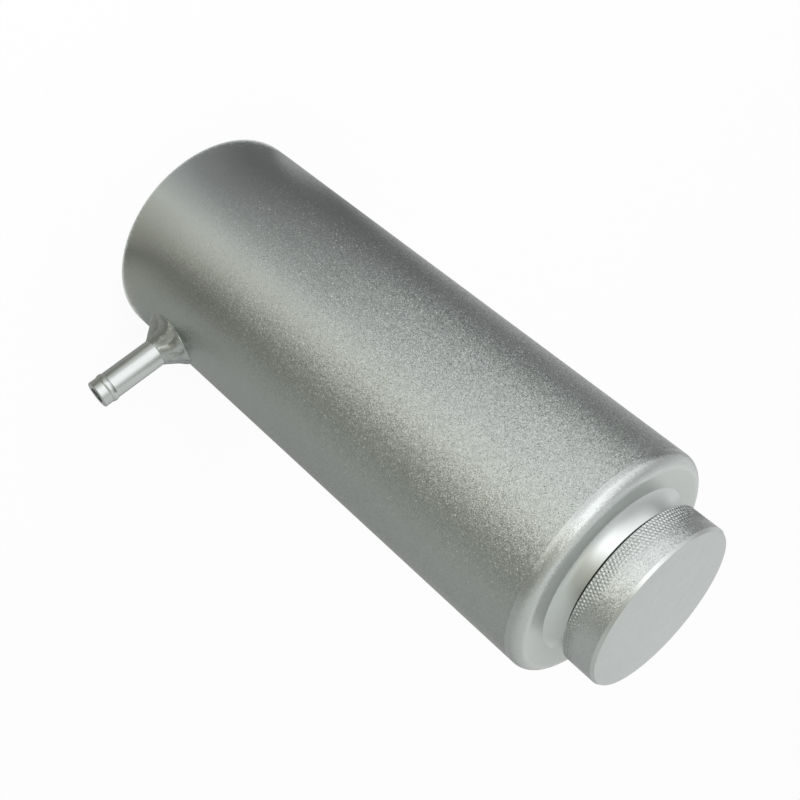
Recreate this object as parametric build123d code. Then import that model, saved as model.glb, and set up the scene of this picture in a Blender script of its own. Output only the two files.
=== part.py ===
"""Coolant expansion tank: a welded aluminium can with a screw cap and one hose spigot.

Millimetres. Z runs up the axis of the tank from the centre of its base, and X runs out along the spigot.
"""
import os
from math import cos, radians, sin

from build123d import *

# Tank, from its base to the flat top
tank_radius = 40.0
tank_height = 198.5
wall = 2.0

# End plates, turned, each with a step that centres it in the tube
top_thickness = 5.0
shoulder_radius = 4.0
base_thickness = 2.5
base_edge = 0.9
plate_step = 1.5

# Filler neck, which sweeps out in a cove to a wide foot and passes down through the top plate
collar_radius = 29.6
collar_height = 5.1
collar_top_radius = 25.7
cove_lean = 15.0
neck_radius = 26.0
neck_drop = 3.0
neck_weld_leg = 2.5

# Screw cap, a knurled head with a hollow threaded plug under it
cap_radius = 28.65
cap_height = 11.9
cap_gap = 1.5
cap_edge = 0.65
cap_rim_edge = 0.3
cap_top = 4.0
plug_radius = 22.0
plug_length = 9.6
plug_wall = 4.0

# Flat seal, held in a recess under the cap's head
seal_recess_radius = 25.8
seal_recess_depth = 0.8
seal_inner_gap = 0.5
seal_outer_gap = 0.3

# Hose spigot, a short tube with a low bead near its tip
spigot_height = 28.0
spigot_radius = 5.0
spigot_bore_radius = 3.0
spigot_reach = 72.0
spigot_inside = 1.5
spigot_tip_edge = 0.25
bead_from_tip = 4.4
bead_rise = 0.35
bead_section_radius = 2.4

# Fillet weld round the foot of the spigot: heights above the wall, and widths beyond the spigot
weld_height = 6.9
weld_crown = 0.3
weld_waist_height = 4.0
weld_waist = 2.1
weld_toe_height = 0.6
weld_toe = 5.6

# Clearances and lead-ins
fit_gap = 0.05
thread_gap = 0.3
lead_in = 0.8

# Heights that several pieces share
tube_top = tank_height - top_thickness
ceiling = tube_top - plate_step
neck_end = ceiling - neck_drop
collar_top = tank_height + collar_height
cap_base = collar_top + cap_gap
cap_face = cap_base + cap_height
cap_ceiling = cap_face - cap_top
plug_end = cap_base - plug_length

UP = (Align.CENTER, Align.CENTER, Align.MIN)


def disc(radius, low, high):
    """A cylinder on the tank's axis between two heights."""
    return Pos(0, 0, low) * Cylinder(radius, high - low, align=UP)


def cross_rod(radius, near, far):
    """A cylinder on the spigot's axis between two distances from the tank's axis."""
    return Pos(near, 0, spigot_height) * Rot(0, 90, 0) * Cylinder(radius, far - near, align=UP)


def rim(solid, radius, height):
    """The circular edges of a solid on the tank's axis with this radius and height."""
    found = []
    for edge in solid.edges().filter_by(GeomType.CIRCLE):
        if abs(edge.radius - radius) < 1e-4 and abs(edge.arc_center.Z - height) < 1e-4:
            found.append(edge)
    return found


def tank_tube():
    tube = disc(tank_radius, base_thickness, tube_top)
    tube -= disc(tank_radius - wall, base_thickness, tube_top)
    return tube - cross_rod(spigot_radius + fit_gap, 0, tank_radius + wall)


def top_plate():
    plate = disc(tank_radius, tube_top, tank_height)
    plate = fillet(rim(plate, tank_radius, tank_height), shoulder_radius)
    plate += disc(tank_radius - wall - fit_gap, ceiling, tube_top)
    return plate - disc(neck_radius + fit_gap, ceiling, tank_height)


def bottom_plate():
    plate = disc(tank_radius, 0, base_thickness)
    plate = chamfer(rim(plate, tank_radius, 0), base_edge)
    return plate + disc(tank_radius - wall - fit_gap, base_thickness, base_thickness + plate_step)


def filler_neck():
    """A bored collar whose side is a cove: steep at the top, and swept out to the foot."""
    bore_radius = plug_radius + thread_gap
    foot = (collar_radius, 0, tank_height)
    top = (collar_top_radius, 0, collar_top)
    lean = radians(cove_lean)
    cove = TangentArc(top, foot, tangent=(sin(lean), 0, -cos(lean)))
    axis_side = Polyline(foot, (0, 0, tank_height), (0, 0, collar_top), top)
    collar = revolve(make_face([cove, axis_side]), Axis.Z)
    neck = collar + disc(neck_radius, neck_end, tank_height)
    neck -= disc(bore_radius, neck_end, collar_top)
    return chamfer(rim(neck, bore_radius, collar_top), lead_in)


def neck_weld():
    """The bead that joins the neck to the underside of the top plate."""
    corner = Polyline(
        (neck_radius, 0, ceiling),
        (neck_radius + neck_weld_leg, 0, ceiling),
        (neck_radius, 0, ceiling - neck_weld_leg),
        close=True,
    )
    return revolve(make_face(corner), Axis.Z)


def hose_spigot():
    tube = cross_rod(spigot_radius, tank_radius - wall - spigot_inside, spigot_reach)
    tip = tube.edges().filter_by(GeomType.CIRCLE).sort_by(Axis.X)[-1]
    tube = chamfer(tip, spigot_tip_edge)
    bead_place = Pos(spigot_reach - bead_from_tip, 0, spigot_height) * Rot(0, 90, 0)
    tube += bead_place * Torus(spigot_radius + bead_rise - bead_section_radius, bead_section_radius)
    return tube - cross_rod(spigot_bore_radius, 0, spigot_reach + wall)


def spigot_weld():
    """A fillet that narrows in two slopes to the spigot, cut to the round of the tank wall."""
    foot = spigot_height + spigot_radius
    toe = foot + weld_toe
    sunk = tank_radius - weld_toe - spigot_radius
    section = Polyline(
        (tank_radius + weld_height, 0, foot),
        (tank_radius + weld_height, 0, foot + weld_crown),
        (tank_radius + weld_waist_height, 0, foot + weld_waist),
        (tank_radius + weld_toe_height, 0, toe),
        (sunk, 0, toe),
        (sunk, 0, foot),
        close=True,
    )
    ring = revolve(make_face(section), Axis((0, 0, spigot_height), (1, 0, 0)))
    return ring - disc(tank_radius, 0, tank_height)


def filler_cap():
    head = disc(cap_radius, cap_base, cap_face)
    head = chamfer(rim(head, cap_radius, cap_face), cap_edge)
    head = chamfer(rim(head, cap_radius, cap_base), cap_rim_edge)
    head -= disc(seal_recess_radius, cap_base, cap_base + seal_recess_depth)
    plug = disc(plug_radius, plug_end, cap_ceiling)
    plug = chamfer(rim(plug, plug_radius, plug_end), lead_in)
    return head + plug - disc(plug_radius - plug_wall, plug_end, cap_ceiling)


def cap_seal():
    seal_top = cap_base + seal_recess_depth
    seal = disc(seal_recess_radius - seal_outer_gap, collar_top, seal_top)
    return seal - disc(plug_radius + seal_inner_gap, collar_top, seal_top)


PIECES = (
    tank_tube,
    top_plate,
    bottom_plate,
    filler_neck,
    neck_weld,
    hose_spigot,
    spigot_weld,
    filler_cap,
    cap_seal,
)

os.makedirs("parts", exist_ok=True)
for make_piece in PIECES:
    export_step(make_piece(), f"parts/{make_piece.__name__}.step")
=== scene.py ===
"""Looks of the coolant expansion tank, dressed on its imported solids.

Metres, in the frame of the solids: Z up the axis of the tank, X out along the spigot.
"""
from math import atan2, cos, pi, radians, sin, sqrt

import bmesh
import bpy
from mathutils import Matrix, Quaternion, Vector


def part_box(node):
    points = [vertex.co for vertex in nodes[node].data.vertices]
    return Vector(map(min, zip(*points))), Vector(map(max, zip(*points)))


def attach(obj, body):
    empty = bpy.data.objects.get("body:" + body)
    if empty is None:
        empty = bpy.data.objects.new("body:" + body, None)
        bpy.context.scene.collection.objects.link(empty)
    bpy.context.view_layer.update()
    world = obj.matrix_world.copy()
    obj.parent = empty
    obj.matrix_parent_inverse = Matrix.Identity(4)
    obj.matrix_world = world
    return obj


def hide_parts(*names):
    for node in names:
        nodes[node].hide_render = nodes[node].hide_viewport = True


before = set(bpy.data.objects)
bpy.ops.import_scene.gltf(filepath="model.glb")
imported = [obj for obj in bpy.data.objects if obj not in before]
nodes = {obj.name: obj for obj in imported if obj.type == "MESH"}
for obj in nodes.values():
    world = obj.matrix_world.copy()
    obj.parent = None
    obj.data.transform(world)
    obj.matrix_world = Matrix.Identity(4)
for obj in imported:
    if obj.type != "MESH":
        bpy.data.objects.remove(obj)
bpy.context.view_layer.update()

MM = 0.001

# Sizes read from the solids
tank_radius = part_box("tank_tube")[1].x
tank_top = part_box("top_plate")[1].z
collar_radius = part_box("filler_neck")[1].x
collar_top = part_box("filler_neck")[1].z
neck_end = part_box("filler_neck")[0].z
cap_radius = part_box("filler_cap")[1].x
cap_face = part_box("filler_cap")[1].z
plug_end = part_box("filler_cap")[0].z
recess_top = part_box("cap_seal")[1].z
spigot_height = (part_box("hose_spigot")[0].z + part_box("hose_spigot")[1].z) / 2
weld_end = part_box("spigot_weld")[1].x

# Sizes of the turned pieces that scene meshes stand for
shoulder_radius = 4.0 * MM
neck_radius = 26.0 * MM
collar_top_radius = 25.7 * MM
cove_lean = 15.0
cap_gap = 1.5 * MM
cap_edge = 0.60 * MM
cap_edge_drop = 1.05 * MM
cap_rim_edge = 0.3 * MM
cap_top = 4.0 * MM
recess_radius = 25.8 * MM
plug_radius = 22.0 * MM
plug_wall = 4.0 * MM
bore_radius = 22.3 * MM
lead_in = 0.8 * MM
spigot_radius = 5.0 * MM
cap_base = collar_top + cap_gap

# Thread of plug and neck, right-hand, and the knurl of the cap's skirt
thread_pitch = 2.0 * MM
thread_swing = 0.45 * MM
thread_rows = 12
turned_segments = 150
cove_rings = 16
knurl_count = 150
knurl_length = 2.2 * MM
knurl_depth = 0.40 * MM
knurl_height = 7.2 * MM
knurl_slant = 2.6 * MM
knurl_slant_azimuth = -170.0
knurl_fade = 1.15
points_per_diamond = 6
rings_per_diamond = 12

# Camera: the photograph's viewing angle
camera_azimuth = 21.58
camera_elevation = 30.18
camera_roll = 129.84
camera_place = Vector((142.17, -354.19, 327.62)) * MM
camera_lens = 60.353


# Meshes


class Turned:
    """A closed mesh made of rings round the tank's axis, from pole to pole or round a closed section."""

    def __init__(self):
        self.points = []
        self.faces = []
        self.first = None
        self.last = None

    def pole(self, height):
        self.join([self.add(0.0, 0.0, height)])

    def ring(self, radius, height, count=turned_segments, relief=None):
        """One ring of count points, with relief(angle, height) added to its radius."""
        indices = []
        for i in range(count):
            angle = 2 * pi * i / count
            out = radius + (relief(angle, height) if relief else 0.0)
            indices.append(self.add(out * cos(angle), out * sin(angle), height))
        self.join(indices)

    def add(self, x, y, z):
        self.points.append((x, y, z))
        return len(self.points) - 1

    def join(self, ring):
        if self.last is not None:
            self.bridge(self.last, ring)
        if self.first is None:
            self.first = ring
        self.last = ring

    def close(self):
        self.bridge(self.last, self.first)

    def bridge(self, one, two):
        """Faces between two rings; each point of a coarser ring takes a fan of the finer one's."""
        if len(one) < len(two):
            one, two = two, one
        share = len(one) // len(two)
        for i in range(len(one)):
            j = (i + 1) % len(one)
            near = two[(i + share // 2) // share % len(two)]
            after = two[(i + 1 + share // 2) // share % len(two)]
            if near == after:
                self.faces.append((one[i], one[j], near))
            else:
                self.faces.append((one[i], one[j], after, near))


def mesh_object(name, points, faces, sharp_angle=35.0):
    """A smooth-shaded mesh object with sharp edges where faces meet at more than sharp_angle degrees."""
    mesh = bpy.data.meshes.new(name)
    mesh.from_pydata(points, [], faces)
    work = bmesh.new()
    work.from_mesh(mesh)
    bmesh.ops.recalc_face_normals(work, faces=work.faces)
    work.to_mesh(mesh)
    work.free()
    mesh.polygons.foreach_set("use_smooth", [True] * len(mesh.polygons))
    mesh.set_sharp_from_angle(angle=radians(sharp_angle))
    piece = bpy.data.objects.new(name, mesh)
    bpy.context.scene.collection.objects.link(piece)
    return piece


def smooth_step(x):
    x = min(1.0, max(0.0, x))
    return x * x * (3 - 2 * x)


def thread_relief(low, high):
    """Radial swing of a right-hand thread between two heights, dying out over half a pitch at each end."""
    fade = thread_pitch / 2

    def relief(angle, height):
        turn = height / thread_pitch - angle / (2 * pi)
        wave = 4 * abs(turn % 1.0 - 0.5) - 1
        flat_topped = max(-1.0, min(1.0, 1.5 * wave))
        strength = smooth_step((height - low) / fade) * smooth_step((high - height) / fade)
        return thread_swing * flat_topped * strength

    return relief


def knurl_relief(low):
    """Diamond knurl cut into the skirt: deepest at the rim, and higher up the skirt on one side."""

    def saw(x):
        return 1 - abs(2 * (x % 1.0) - 1)

    def relief(angle, height):
        across = knurl_count * angle / (2 * pi)
        along = (height - low) / knurl_length
        diamond = min(saw(across + along), saw(across - along))
        end = knurl_height + knurl_slant * cos(angle - radians(knurl_slant_azimuth))
        strength = smooth_step(knurl_fade * (1 - (height - low) / end))
        return -knurl_depth * (1 - diamond) * strength

    return relief


def steps(start, end, count):
    """count values from just after start to end."""
    return [start + (end - start) * (i + 1) / count for i in range(count)]


def thread_steps(start, end):
    """Heights from just after start to end, thread_rows to a pitch."""
    return steps(start, end, round(abs(end - start) / thread_pitch * thread_rows))


def knurled_cap():
    """The cap: plain face, chamfer, knurled skirt, recess for the seal and hollow threaded plug."""
    knurl_low = cap_base + cap_rim_edge
    knurl_high = knurl_low + knurl_height + knurl_slant
    fine = points_per_diamond * knurl_count
    knurl_rings = round(rings_per_diamond * (knurl_high - knurl_low) / knurl_length)
    body = Turned()
    body.pole(cap_face)
    for share in (0.6, 0.9):
        body.ring(cap_radius * share, cap_face)
    body.ring(cap_radius - cap_edge, cap_face, fine)
    body.ring(cap_radius, cap_face - cap_edge_drop, fine)
    body.ring(cap_radius, knurl_high, fine)
    relief = knurl_relief(knurl_low)
    for height in steps(knurl_high, knurl_low, knurl_rings):
        body.ring(cap_radius, height, fine, relief)
    body.ring(cap_radius - cap_rim_edge, cap_base, fine)
    body.ring(recess_radius, cap_base)
    body.ring(recess_radius, recess_top)
    body.ring(plug_radius, recess_top)
    thread_low = plug_end + lead_in
    relief = thread_relief(thread_low, recess_top)
    for height in thread_steps(recess_top, thread_low):
        body.ring(plug_radius, height, turned_segments, relief)
    body.ring(plug_radius - lead_in, plug_end)
    body.ring(plug_radius - plug_wall, plug_end)
    body.ring(plug_radius - plug_wall, cap_face - cap_top)
    body.pole(cap_face - cap_top)
    piece = mesh_object("knurled_cap", body.points, body.faces, sharp_angle=25.0)
    soften(piece, knurl_low, knurl_high)
    return piece


def soften(piece, low, high):
    """Takes the sharp edges off the knurl, which was blasted after it was rolled."""
    mesh = piece.data
    sharp = mesh.attributes["sharp_edge"].data
    for edge in mesh.edges:
        ends = [mesh.vertices[i].co for i in edge.vertices]
        if all(low < p.z < high and p.xy.length > recess_radius for p in ends):
            sharp[edge.index].value = False


def threaded_neck():
    """The filler neck: a cove from its seat down to its wide foot, and a threaded bore."""
    body = Turned()
    rise = collar_top - tank_top
    reach = collar_radius - collar_top_radius
    lean = radians(cove_lean)
    foot_lean = 2 * atan2(reach, rise) - lean
    cove_radius = rise / (sin(foot_lean) - sin(lean))
    body.ring(bore_radius + lead_in, collar_top)
    body.ring(collar_top_radius, collar_top)
    for angle in steps(lean, foot_lean, cove_rings):
        across = collar_top_radius + cove_radius * (cos(lean) - cos(angle))
        body.ring(across, collar_top - cove_radius * (sin(angle) - sin(lean)))
    body.ring(neck_radius, tank_top)
    body.ring(neck_radius, neck_end)
    body.ring(bore_radius, neck_end)
    thread_high = collar_top - lead_in
    relief = thread_relief(neck_end, thread_high)
    for height in thread_steps(neck_end, thread_high):
        body.ring(bore_radius, height, turned_segments, relief)
    body.close()
    return mesh_object("threaded_neck", body.points, body.faces)


def rippled_weld():
    """The fillet weld at the spigot's foot: a flared bead with the uneven lobes of hand welding."""
    columns = 360
    rows = 28
    lobe_count = 9
    lobe_height = 0.95 * MM
    crown = 0.3 * MM
    waist = 2.1 * MM
    waist_height = 3.4 * MM
    toe = 5.5 * MM
    low_side_waist = 0.5 * MM
    low_side_toe = 0.7 * MM
    toe_step = 0.04 * MM
    sunk = 0.15 * MM
    lobe_middle = 0.6
    lobe_sweep = 0.3
    lobe_out = 0.5
    lobe_along = 0.7
    points = []
    for i in range(columns):
        angle = 2 * pi * i / columns
        low_side = max(0.0, -sin(angle))
        reach = spigot_radius + toe + low_side * low_side_toe
        bend = spigot_radius + waist + low_side * low_side_waist
        wall_at_toe = sqrt(tank_radius ** 2 - (reach * cos(angle)) ** 2)
        wall_at_foot = sqrt(tank_radius ** 2 - (spigot_radius * cos(angle)) ** 2)
        uneven = 0.45 * sin(angle + 0.6) + 0.30 * sin(2 * angle + 2.1)
        for k in range(rows):
            s = k / (rows - 1)
            start, middle, end = (1 - s) ** 2, 2 * s * (1 - s), s * s
            lobe = abs(sin(pi * (lobe_count * angle / (2 * pi) + uneven + lobe_sweep * sin(pi * s))))
            lobe -= lobe_middle
            rise = lobe_height * lobe * smooth_step(2.5 * s) * smooth_step(4 * (1 - s) + 0.25)
            out = start * (spigot_radius + crown) + middle * bend + end * reach + lobe_out * rise
            along = start * weld_end + middle * (wall_at_toe + waist_height)
            along += end * (wall_at_toe + toe_step) + lobe_along * rise
            points.append((along, out * cos(angle), spigot_height + out * sin(angle)))
        hidden_side = (
            (wall_at_toe - sunk, reach),
            (wall_at_foot - sunk, spigot_radius),
            (weld_end, spigot_radius),
        )
        for along, out in hidden_side:
            points.append((along, out * cos(angle), spigot_height + out * sin(angle)))
    across = len(points) // columns
    faces = []
    for i in range(columns):
        j = (i + 1) % columns
        for k in range(across):
            m = (k + 1) % across
            faces.append((i * across + k, j * across + k, j * across + m, i * across + m))
    return mesh_object("rippled_weld", points, faces, sharp_angle=50.0)


# Materials


class Graph:
    """Shader nodes of one material or world, added and linked by name."""

    def __init__(self, owner):
        owner.use_nodes = True
        self.tree = owner.node_tree
        self.tree.nodes.clear()

    def node(self, kind, inputs=None, **settings):
        made = self.tree.nodes.new(kind)
        for key, value in settings.items():
            setattr(made, key, value)
        for key, value in (inputs or {}).items():
            self.put(made.inputs[key], value)
        return made

    def put(self, socket, value):
        if isinstance(value, bpy.types.NodeSocket):
            self.tree.links.new(value, socket)
        else:
            socket.default_value = value

    def math(self, operation, a, b):
        return self.node("ShaderNodeMath", {0: a, 1: b}, operation=operation).outputs[0]

    def vector(self, operation, a, b=(0.0, 0.0, 0.0)):
        made = self.node("ShaderNodeVectorMath", {0: a, 1: b}, operation=operation)
        return made.outputs["Value" if operation == "LENGTH" else "Vector"]

    def scale(self, a, factor):
        made = self.node("ShaderNodeVectorMath", {0: a, "Scale": factor}, operation="SCALE")
        return made.outputs["Vector"]

    def place(self):
        """Coordinates of the piece's own frame, in metres."""
        return self.node("ShaderNodeTexCoord").outputs["Object"]

    def noise(self, vector, size, detail=2.0, roughness=0.5):
        """Cloudy noise from 0 to 1 with lumps of about this size."""
        inputs = {"Vector": vector, "Scale": 1 / size, "Detail": detail, "Roughness": roughness}
        return self.node("ShaderNodeTexNoise", inputs).outputs["Fac"]

    def span(self, value, low, high, to_low, to_high):
        """A value from low to high, led over to the other pair of ends and held there."""
        inputs = {"Value": value, "From Min": low, "From Max": high, "To Min": to_low, "To Max": to_high}
        return self.node("ShaderNodeMapRange", inputs).outputs["Result"]

    def bump(self, height, strength, distance):
        inputs = {"Height": height, "Strength": strength, "Distance": distance}
        return self.node("ShaderNodeBump", inputs).outputs["Normal"]

    def tint(self, factor, one, two):
        made = self.node("ShaderNodeMix", {"Factor": factor}, data_type="RGBA")
        self.put(made.inputs[6], one)
        self.put(made.inputs[7], two)
        return made.outputs[2]

    def blend(self, factor, one, two):
        made = self.node("ShaderNodeMix", {"Factor": factor}, data_type="FLOAT")
        self.put(made.inputs[2], one)
        self.put(made.inputs[3], two)
        return made.outputs[0]

    def finish(self, shader, kind="ShaderNodeOutputMaterial"):
        self.node(kind, {"Surface": shader})


def grey(level, tint=(1.0, 1.0, 1.0)):
    return (level * tint[0], level * tint[1], level * tint[2], 1.0)


COOL = (0.955, 1.0, 0.985)
GREENISH = (0.945, 1.0, 0.965)
silver_dark = grey(0.50, GREENISH)
silver_light = grey(0.56, GREENISH)


def flake_normal(graph, place, size, even, sparkle, mask=1.0):
    """A normal that tilts from grain to grain: a little everywhere, and far in a few grains that glint."""
    cells = graph.node("ShaderNodeTexVoronoi", {"Vector": place, "Scale": 1 / size, "Randomness": 1.0})
    tilt = graph.vector("SUBTRACT", cells.outputs["Color"], (0.5, 0.5, 0.5))
    chance = graph.node("ShaderNodeTexWhiteNoise", {"Vector": cells.outputs["Position"]}).outputs["Value"]
    rare = graph.math("POWER", chance, 7.0)
    reach = graph.math("ADD", graph.math("MULTIPLY", rare, sparkle), even)
    if mask != 1.0:
        reach = graph.math("MULTIPLY", reach, mask)
    normal = graph.node("ShaderNodeNewGeometry").outputs["Normal"]
    tilted = graph.vector("ADD", normal, graph.scale(tilt, reach))
    return graph.vector("NORMALIZE", tilted)


def metal(graph, colour, roughness, normal, metallic=1.0):
    inputs = {"Base Color": colour, "Metallic": metallic, "Roughness": roughness, "Normal": normal}
    return graph.node("ShaderNodeBsdfPrincipled", inputs).outputs["BSDF"]


def new_material(name):
    return bpy.data.materials.new(name)


grain_size = 0.19 * MM
grain_tilt = 0.36
grain_sparkle = 1.15
grain_rise = 0.12
grain_at_base = 0.35
grain_at_top = 1.1
blasted_rough = 0.20


def blasted_metal(name):
    """Bead-blasted silver aluminium: a fine grain that is keener towards the top, with faint cloudiness."""
    material = new_material(name)
    graph = Graph(material)
    place = graph.place()
    height = graph.node("ShaderNodeSeparateXYZ", {"Vector": place}).outputs["Z"]
    keen = graph.span(height, 0.0, grain_rise, grain_at_base, grain_at_top)
    normal = flake_normal(graph, place, grain_size, grain_tilt, grain_sparkle, keen)
    colour = graph.tint(graph.noise(place, 30 * MM, 4.0, 0.6), silver_dark, silver_light)
    patchy = graph.noise(place, 4 * MM, 3.0)
    roughness = graph.span(patchy, 0.3, 0.7, blasted_rough - 0.03, blasted_rough + 0.04)
    graph.finish(metal(graph, colour, roughness, normal))
    return material


def top_metal(name):
    """The top plate: blasted over its shoulder, which is painted lighter as a painted highlight, and a
    smooth satin over its flat face.
    """
    material = new_material(name)
    graph = Graph(material)
    place = graph.place()
    radius = graph.vector("LENGTH", graph.vector("MULTIPLY", place, (1.0, 1.0, 0.0)))
    flat_edge = tank_radius - shoulder_radius
    outside = graph.span(radius, flat_edge, flat_edge + 1.5 * MM, 0.0, 1.0)
    normal = flake_normal(graph, place, grain_size, 0.45 * grain_tilt, 0.45 * grain_sparkle, outside)
    cloud = graph.noise(place, 12 * MM, 4.0, 0.6)
    # Painted highlight: the shoulder is painted lighter than the blasted silver of the body, so its
    # highlight shows whiter.
    shoulder_painted_lighter = graph.tint(cloud, grey(0.58, COOL), grey(0.64, COOL))
    colour = graph.tint(outside, graph.tint(cloud, silver_dark, silver_light), shoulder_painted_lighter)
    rings = graph.noise(graph.node("ShaderNodeCombineXYZ", {"X": radius}).outputs[0], 0.4 * MM)
    smooth = graph.span(rings, 0.3, 0.7, 0.28, 0.34)
    satin = graph.span(radius, flat_edge + 0.4 * MM, flat_edge + 1.8 * MM, 0.45, 1.0)
    graph.finish(metal(graph, colour, graph.blend(outside, smooth, blasted_rough), normal, satin))
    return material


def cap_metal(name):
    """The cap: blasted skirt with painted shade in its knurl valleys, smooth edge and face, and a painted
    light that turns its under face and plug near white.
    """
    material = new_material(name)
    graph = Graph(material)
    place = graph.place()
    height = graph.node("ShaderNodeSeparateXYZ", {"Vector": place}).outputs["Z"]
    radius = graph.vector("LENGTH", graph.vector("MULTIPLY", place, (1.0, 1.0, 0.0)))
    skirt = graph.span(height, cap_face - 0.1 * MM, cap_face - 0.02 * MM, 1.0, 0.0)
    grainy = graph.span(height, cap_face - cap_edge_drop - 0.1 * MM, cap_face - cap_edge_drop, 1.0, 0.12)
    normal = flake_normal(graph, place, grain_size, 0.34, 0.85, grainy)
    cloud = graph.noise(place, 14 * MM, 4.0, 0.6)
    plain = graph.tint(cloud, grey(0.50, COOL), grey(0.56, COOL))
    cloudy = graph.tint(skirt, plain, graph.tint(cloud, grey(0.61, COOL), grey(0.67, COOL)))
    # Painted shade: the knurl valleys are painted darker towards the bottom of the cut, where shade falls
    # between the diamonds.
    valley_shade_by_depth = graph.span(radius, cap_radius - knurl_depth, cap_radius - 0.1 * MM, 0.25, 0.0)
    on_skirt = graph.span(radius, cap_radius - 2.0 * knurl_depth, cap_radius - 1.5 * knurl_depth, 0.0, 1.0)
    below_edge = graph.span(height, cap_face - 1.4 * cap_edge_drop, cap_face - cap_edge_drop, 1.0, 0.0)
    painted_valley_shade = graph.math("MULTIPLY", valley_shade_by_depth, graph.math("MULTIPLY", on_skirt, below_edge))
    colour = graph.tint(painted_valley_shade, cloudy, grey(0.16, COOL))
    # Painted light: everything below the rim's under face, plug included, is painted near white to lift the
    # shade in the gap under the cap.
    painted_light_below_rim = graph.span(height, cap_base - 0.02 * MM, cap_base + 0.02 * MM, 1.0, 0.0)
    colour = graph.tint(painted_light_below_rim, colour, grey(0.86, COOL))
    patchy = graph.noise(place, 3 * MM, 3.0)
    graph.finish(metal(graph, colour, graph.span(patchy, 0.3, 0.7, 0.20, 0.26), normal))
    return material


def polished_metal(name):
    """Turned and polished aluminium with fine lines round the axis."""
    material = new_material(name)
    graph = Graph(material)
    place = graph.place()
    along = graph.vector("MULTIPLY", place, (0.02, 0.02, 1.0))
    lines = graph.noise(along, 0.25 * MM, 2.0)
    cloud = graph.noise(place, 9 * MM, 3.0)
    colour = graph.tint(cloud, grey(0.63, COOL), grey(0.69, COOL))
    roughness = graph.span(lines, 0.3, 0.7, 0.20, 0.27)
    bump = graph.bump(lines, 0.05, 0.02 * MM)
    graph.finish(metal(graph, colour, roughness, bump))
    return material


def drawn_metal(name):
    """Drawn aluminium tube, with faint lines along its length."""
    material = new_material(name)
    graph = Graph(material)
    place = graph.place()
    along = graph.vector("MULTIPLY", place, (0.05, 1.0, 1.0))
    lines = graph.noise(along, 0.35 * MM, 3.0)
    colour = graph.tint(graph.noise(place, 5 * MM, 3.0), grey(0.55, COOL), grey(0.61, COOL))
    roughness = graph.span(lines, 0.3, 0.7, 0.24, 0.32)
    bump = graph.bump(lines, 0.08, 0.02 * MM)
    graph.finish(metal(graph, colour, roughness, bump))
    return material


def weld_metal(name):
    """As-welded aluminium: mottled, with a fine crystalline grain."""
    material = new_material(name)
    graph = Graph(material)
    place = graph.place()
    normal = flake_normal(graph, place, 0.5 * MM, 0.10, 0.3)
    mottle = graph.noise(place, 1.6 * MM, 3.0)
    colour = graph.tint(mottle, grey(0.40, COOL), grey(0.58, COOL))
    roughness = graph.span(mottle, 0.3, 0.7, 0.34, 0.22)
    graph.finish(metal(graph, colour, roughness, normal))
    return material


def seal_rubber(name):
    """Matt black rubber with a trace of dust."""
    material = new_material(name)
    graph = Graph(material)
    place = graph.place()
    dust = graph.noise(place, 1.2 * MM, 4.0)
    colour = graph.tint(dust, grey(0.010), grey(0.022))
    roughness = graph.span(dust, 0.3, 0.7, 0.55, 0.75)
    bump = graph.bump(dust, 0.2, 0.05 * MM)
    inputs = {"Base Color": colour, "Roughness": roughness, "Normal": bump}
    graph.finish(graph.node("ShaderNodeBsdfPrincipled", inputs).outputs["BSDF"])
    return material


def dress(node, material):
    """Gives a solid of the frame its finish."""
    for slot in nodes[node].material_slots:
        slot.material = material


def add_piece(piece, node, body, material):
    """A scene mesh that stands for a solid of the frame."""
    piece.data.materials.append(material)
    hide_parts(node)
    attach(piece, body)


# Stage

floor_radius = 6.0
white_share = 0.92
soft_light = 0.75
lamp_aim = Vector((0.0, 0.0, 0.12))


def seen_directly(graph):
    """1 for what the camera sees, straight or mirrored in metal, and 0 for soft light."""
    path = graph.node("ShaderNodeLightPath").outputs
    straight = graph.math("MAXIMUM", path["Is Camera Ray"], path["Is Glossy Ray"])
    return graph.math("MAXIMUM", straight, path["Is Transmission Ray"])


def make_world():
    """White to the camera and in the metal, and a softer light on everything else."""
    world = bpy.data.worlds.new("studio")
    bpy.context.scene.world = world
    graph = Graph(world)
    soft = graph.node("ShaderNodeBackground", {"Color": grey(1.0), "Strength": soft_light}).outputs[0]
    white = graph.node("ShaderNodeBackground", {"Color": grey(1.0), "Strength": 1.0}).outputs[0]
    mixed = graph.node("ShaderNodeMixShader", {0: seen_directly(graph), 1: soft, 2: white}).outputs[0]
    graph.finish(mixed, "ShaderNodeOutputWorld")


def stage_disc(name, inner, outer, height, count=96):
    points = []
    faces = []
    for i in range(count):
        angle = 2 * pi * i / count
        for radius in (inner, outer):
            points.append((radius * cos(angle), radius * sin(angle), height))
        j = (i + 1) % count
        faces.append((2 * i, 2 * i + 1, 2 * j + 1, 2 * j))
    made = mesh_object(name, points, faces)
    return made


def make_floor():
    """A pale floor that looks white and still takes the object's shadow."""
    floor = stage_disc("floor", 0.0, floor_radius, -0.05 * MM)
    material = new_material("pale_floor")
    graph = Graph(material)
    lit = graph.node("ShaderNodeBsdfDiffuse", {"Color": grey(0.9)}).outputs[0]
    white = graph.node("ShaderNodeEmission", {"Color": grey(1.0), "Strength": 1.0}).outputs[0]
    share = graph.math("MULTIPLY", seen_directly(graph), white_share)
    graph.finish(graph.node("ShaderNodeMixShader", {0: share, 1: lit, 2: white}).outputs[0])
    floor.data.materials.append(material)


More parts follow.
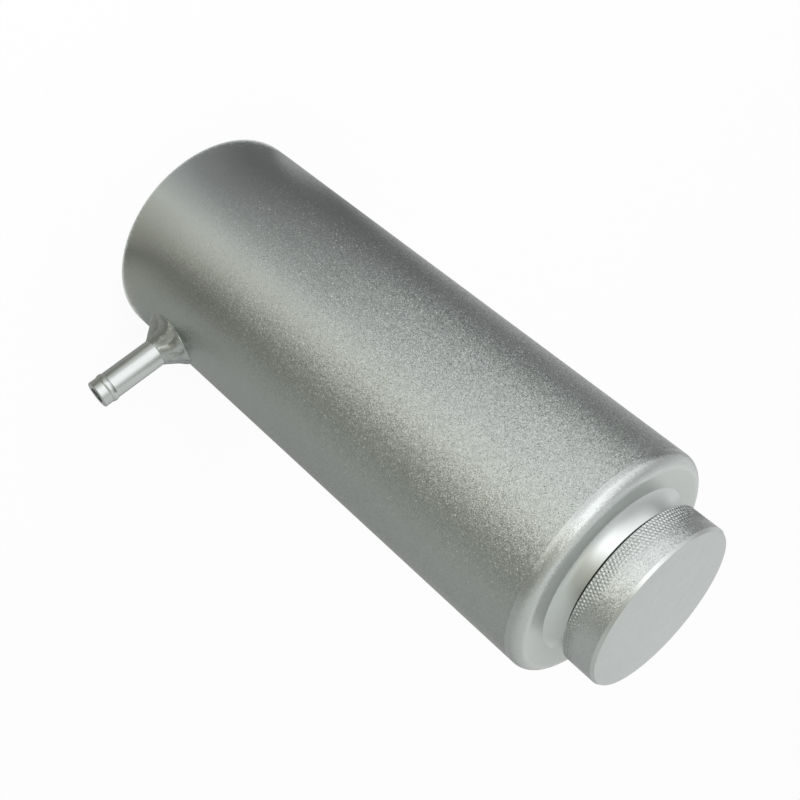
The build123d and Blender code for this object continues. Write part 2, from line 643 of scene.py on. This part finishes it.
# What only the metal mirrors, by azimuth from X: tones of floor boards, close by to far off, and of walls
CLOSE_TONES = (
    (-180, 0.50),
    (-165, 0.45),
    (-156, 0.42),
    (-146, 0.21),
    (-128, 0.20),
    (-118, 0.24),
    (-94, 0.38),
    (-82, 0.55),
    (-68, 0.78),
    (-54, 0.60),
    (-31, 0.25),
    (-18, 0.40),
    (-9, 0.42),
    (10, 0.39),
    (20, 0.32),
    (60, 0.36),
    (110, 0.48),
    (150, 0.60),
    (180, 0.50),
)
NEAR_TONES = (
    (-180, 0.19),
    (-166, 0.16),
    (-148, 0.14),
    (-118, 0.25),
    (-94, 0.38),
    (-82, 0.58),
    (-68, 0.82),
    (-54, 0.72),
    (-31, 0.21),
    (-18, 0.26),
    (-4, 0.44),
    (30, 0.44),
    (60, 0.35),
    (76, 0.32),
    (110, 0.47),
    (132, 0.60),
    (148, 0.60),
    (164, 0.37),
    (180, 0.19),
)
FAR_TONES = (
    (-180, 0.23),
    (-172, 0.21),
    (-164, 0.39),
    (-148, 0.77),
    (-132, 1.00),
    (-116, 1.15),
    (-100, 1.06),
    (-84, 1.08),
    (-68, 1.38),
    (-52, 1.05),
    (-36, 0.72),
    (-22, 0.31),
    (-8, 0.34),
    (10, 0.51),
    (60, 0.46),
    (76, 0.40),
    (95, 0.48),
    (132, 0.58),
    (148, 0.53),
    (164, 0.35),
    (180, 0.23),
)
LOW_WALL_TONES = (
    (-180, 0.45),
    (-165, 0.75),
    (-148, 1.20),
    (-120, 1.50),
    (-84, 1.68),
    (-70, 1.15),
    (-52, 0.60),
    (-20, 0.33),
    (12, 0.54),
    (76, 0.58),
    (110, 0.85),
    (150, 0.80),
    (165, 0.60),
    (180, 0.45),
)
HIGH_WALL_TONES = (
    (-180, 0.62),
    (-148, 0.66),
    (-125, 1.10),
    (-100, 1.72),
    (-84, 1.80),
    (-68, 1.32),
    (-52, 0.73),
    (-20, 0.54),
    (12, 0.72),
    (76, 0.74),
    (110, 0.88),
    (150, 0.80),
    (180, 0.62),
)
BRIGHTEST_TONE = 1.80
CEILING_TONE = 0.90
WARM_SIDE = (
    (-180, (1.0, 1.0, 1.0)),
    (-80, (1.0, 1.0, 1.0)),
    (-45, (1.0, 0.98, 0.87)),
    (-15, (1.0, 1.0, 0.92)),
    (15, (0.98, 1.0, 0.97)),
    (180, (1.0, 1.0, 1.0)),
)
bowl_radius = 1.5
dome_rings = 18
board_lift = 0.3 * MM
board_gap = 1.0 * MM
close_reach = (0.05, 0.08)
far_reach = (0.06, 0.46)
low_wall_rise = (0, 10)
high_wall_rise = (15, 55)
ceiling_rise = (60, 82)


def azimuth_ramp(graph, around, stops):
    """Colours that change with the azimuth; around runs from 0 at -180 degrees to 1 at 180."""
    ramp = graph.node("ShaderNodeValToRGB", {"Fac": around})
    points = ramp.color_ramp.elements
    while len(points) < len(stops):
        points.new(0.5)
    for point, (azimuth, colour) in zip(points, stops):
        point.position = azimuth / 360 + 0.5
        point.color = colour
    return ramp.outputs["Color"]


def tone_ramp(graph, around, tones):
    return azimuth_ramp(graph, around, [(azimuth, grey(tone / BRIGHTEST_TONE)) for azimuth, tone in tones])


def make_bowl():
    """Boards on the floor and a dome of soft walls round the tank, seen by nothing but its metal."""
    shell = Turned()
    shell.ring(tank_radius + board_gap, board_lift)
    shell.ring(bowl_radius, board_lift)
    for tilt in steps(0, pi / 2, dome_rings)[:-1]:
        shell.ring(bowl_radius * cos(tilt), bowl_radius * sin(tilt))
    shell.pole(bowl_radius)
    bowl = mesh_object("mirror_bowl", shell.points, shell.faces)
    material = new_material("bowl_tones")
    graph = Graph(material)
    place = graph.place()
    around = graph.node("ShaderNodeTexGradient", {"Vector": place}, gradient_type="RADIAL").outputs["Fac"]
    height = graph.node("ShaderNodeSeparateXYZ", {"Vector": place}).outputs["Z"]
    distance = graph.vector("LENGTH", place)

    def between(rise):
        """0 below the first elevation of the bowl, in degrees, and 1 above the second."""
        low, high = (bowl_radius * sin(radians(tilt)) for tilt in rise)
        return graph.span(height, low, high, 0.0, 1.0)

    near_by = graph.span(distance, *close_reach, 0.0, 1.0)
    far_off = graph.span(distance, *far_reach, 0.0, 1.0)
    tone = graph.tint(near_by, tone_ramp(graph, around, CLOSE_TONES), tone_ramp(graph, around, NEAR_TONES))
    tone = graph.tint(far_off, tone, tone_ramp(graph, around, FAR_TONES))
    tone = graph.tint(between(low_wall_rise), tone, tone_ramp(graph, around, LOW_WALL_TONES))
    tone = graph.tint(between(high_wall_rise), tone, tone_ramp(graph, around, HIGH_WALL_TONES))
    tone = graph.tint(between(ceiling_rise), tone, grey(CEILING_TONE / BRIGHTEST_TONE))
    warmth = azimuth_ramp(graph, around, [(azimuth, grey(1.0, tint)) for azimuth, tint in WARM_SIDE])
    colour = graph.vector("MULTIPLY", tone, warmth)
    graph.finish(graph.node("ShaderNodeEmission", {"Color": colour, "Strength": BRIGHTEST_TONE}).outputs[0])
    bowl.data.materials.append(material)
    bowl.visible_camera = False
    bowl.visible_diffuse = False
    bowl.visible_shadow = False


def add_lamp(name, azimuth, elevation, distance, size, radiance):
    """A round soft lamp that faces the middle of the tank; azimuth is counted from X."""
    lamp = bpy.data.lights.new(name, "AREA")
    lamp.shape = "DISK"
    lamp.size = size
    lamp.energy = radiance * pi * pi * size * size / 4
    made = bpy.data.objects.new(name, lamp)
    bpy.context.scene.collection.objects.link(made)
    around = radians(azimuth)
    up = radians(elevation)
    away = Vector((cos(around) * cos(up), sin(around) * cos(up), sin(up)))
    made.location = lamp_aim + away * distance
    made.rotation_mode = "QUATERNION"
    made.rotation_quaternion = (-away).to_track_quat("-Z", "Y")
    made.visible_camera = False
    made.visible_glossy = False


def make_camera():
    data = bpy.data.cameras.new("camera")
    data.lens = camera_lens
    data.sensor_width = 36.0
    data.clip_start = 0.01
    data.clip_end = 50.0
    made = bpy.data.objects.new("camera", data)
    bpy.context.scene.collection.objects.link(made)
    a = radians(camera_azimuth)
    e = radians(camera_elevation)
    back = Vector((sin(a) * cos(e), -cos(a) * cos(e), sin(e)))
    made.location = camera_place
    made.rotation_mode = "QUATERNION"
    level = (-back).to_track_quat("-Z", "Y")
    made.rotation_quaternion = level @ Quaternion((0.0, 0.0, 1.0), radians(camera_roll))
    bpy.context.scene.camera = made


# The object

blasted = blasted_metal("blasted_aluminium")
welded = weld_metal("weld_aluminium")
polished = polished_metal("polished_aluminium")
dress("tank_tube", blasted)
dress("bottom_plate", blasted)
dress("top_plate", top_metal("top_aluminium"))
dress("hose_spigot", drawn_metal("drawn_aluminium"))
dress("neck_weld", welded)
dress("cap_seal", seal_rubber("seal_rubber"))
add_piece(threaded_neck(), "filler_neck", "tank", polished)
add_piece(knurled_cap(), "filler_cap", "cap", cap_metal("cap_aluminium"))
add_piece(rippled_weld(), "spigot_weld", "tank", welded)

# The studio

make_world()
make_floor()
make_bowl()
add_lamp("key_softbox", azimuth=-100, elevation=40, distance=0.9, size=0.8, radiance=2.6)
make_camera()
bpy.context.scene.view_settings.view_transform = "Standard"
